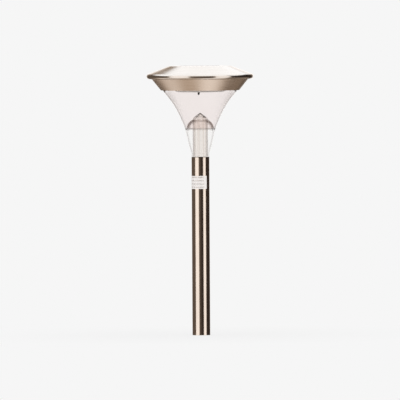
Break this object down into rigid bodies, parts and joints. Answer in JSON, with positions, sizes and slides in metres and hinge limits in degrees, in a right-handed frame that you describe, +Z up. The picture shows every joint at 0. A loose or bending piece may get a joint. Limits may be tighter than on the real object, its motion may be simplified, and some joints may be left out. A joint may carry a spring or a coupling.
{
  "type": "solar garden light",
  "caption": "Stainless solar garden light with a rimmed conical head, clear trumpet lens and clear neck on a straight tube pole that takes a ground spike.",
  "frame": {"origin": "centre of the pole's lower end, at the mouth of the bore for the ground spike", "axes": "+Z up along the pole, -Y the front with the label, +X to the right seen from the front"},
  "size_m": [0.15, 0.15, 0.3778],
  "materials": {
    "pole_steel": "polished stainless, faint lengthwise brushing",
    "cap_steel": "polished stainless",
    "brushed_steel": "stainless brushed round the axis",
    "label_film": "translucent white film",
    "clear_plastic": "clear moulded acrylic",
    "tinted_clear_plastic": "clear acrylic with a faint warm tint",
    "black_plastic": "moulded",
    "black_rubber": "foam",
    "grey_rubber": "soft silicone",
    "panel_resin": "clear cast resin",
    "green_board": "solder-masked laminate",
    "tinned_copper": "tinned",
    "solar_cell": "dark blue silicon with fine lines",
    "white_plastic": "moulded",
    "zinc_steel": "bright zinc",
    "inductor_green": "lacquered",
    "switch_metal": "tinned can",
    "led_resin": "clear epoxy",
    "battery_jacket": "shrunk plastic film",
    "nickel_plate": "nickel plated spring steel",
    "red_insulation": "soft plastic",
    "black_insulation": "soft plastic"
  },
  "bodies": {
    "root": {"pole_tube": "pole_steel", "pole_label": "label_film", "neck_funnel": "clear_plastic", "light_column": "clear_plastic", "reflector_dome": "clear_plastic", "lens": "tinted_clear_plastic"},
    "head": {"top_cap": "cap_steel", "skirt": "brushed_steel", "panel_frame": "black_plastic", "panel_gasket": "black_rubber", "panel_cover": "panel_resin", "panel_board": "green_board", "solar_cell_1": "solar_cell", "solar_cell_2": "solar_cell", "solar_cell_3": "solar_cell", "solar_cell_4": "solar_cell", "cell_ribbons": "tinned_copper", "head_base": "white_plastic", "lens_gasket": "grey_rubber", "frame_screws": "zinc_steel", "circuit_board": "green_board", "board_screws": "zinc_steel", "driver_chip": "black_plastic", "inductor": "inductor_green", "switch_body": "switch_metal", "led": "led_resin", "led_sleeve": "black_plastic", "battery": "battery_jacket", "contact_positive": "nickel_plate", "contact_negative": "nickel_plate", "battery_spring": "nickel_plate", "panel_wire_positive": "red_insulation", "panel_wire_negative": "black_insulation", "battery_wire_positive": "red_insulation", "battery_wire_negative": "black_insulation"},
    "switch_knob": {"switch_knob": "black_plastic"},
    "battery_door": {"battery_door": "white_plastic"}
  },
  "joints": [
    {"name": "head_twist", "type": "hinge", "parent": "root", "child": "head", "pos_m": [0, 0, 0.356], "axis": [0, 0, 1], "range_deg": [0, 30]},
    {"name": "switch_slide", "type": "slide", "parent": "head", "child": "switch_knob", "axis": [1, 0, 0], "range_m": [0, 0.003]},
    {"name": "battery_door_hinge", "type": "hinge", "parent": "head", "child": "battery_door", "pos_m": [0, 0.0044, 0.3424], "axis": [-1, 0, 0], "range_deg": [0, 90]}
  ]
}
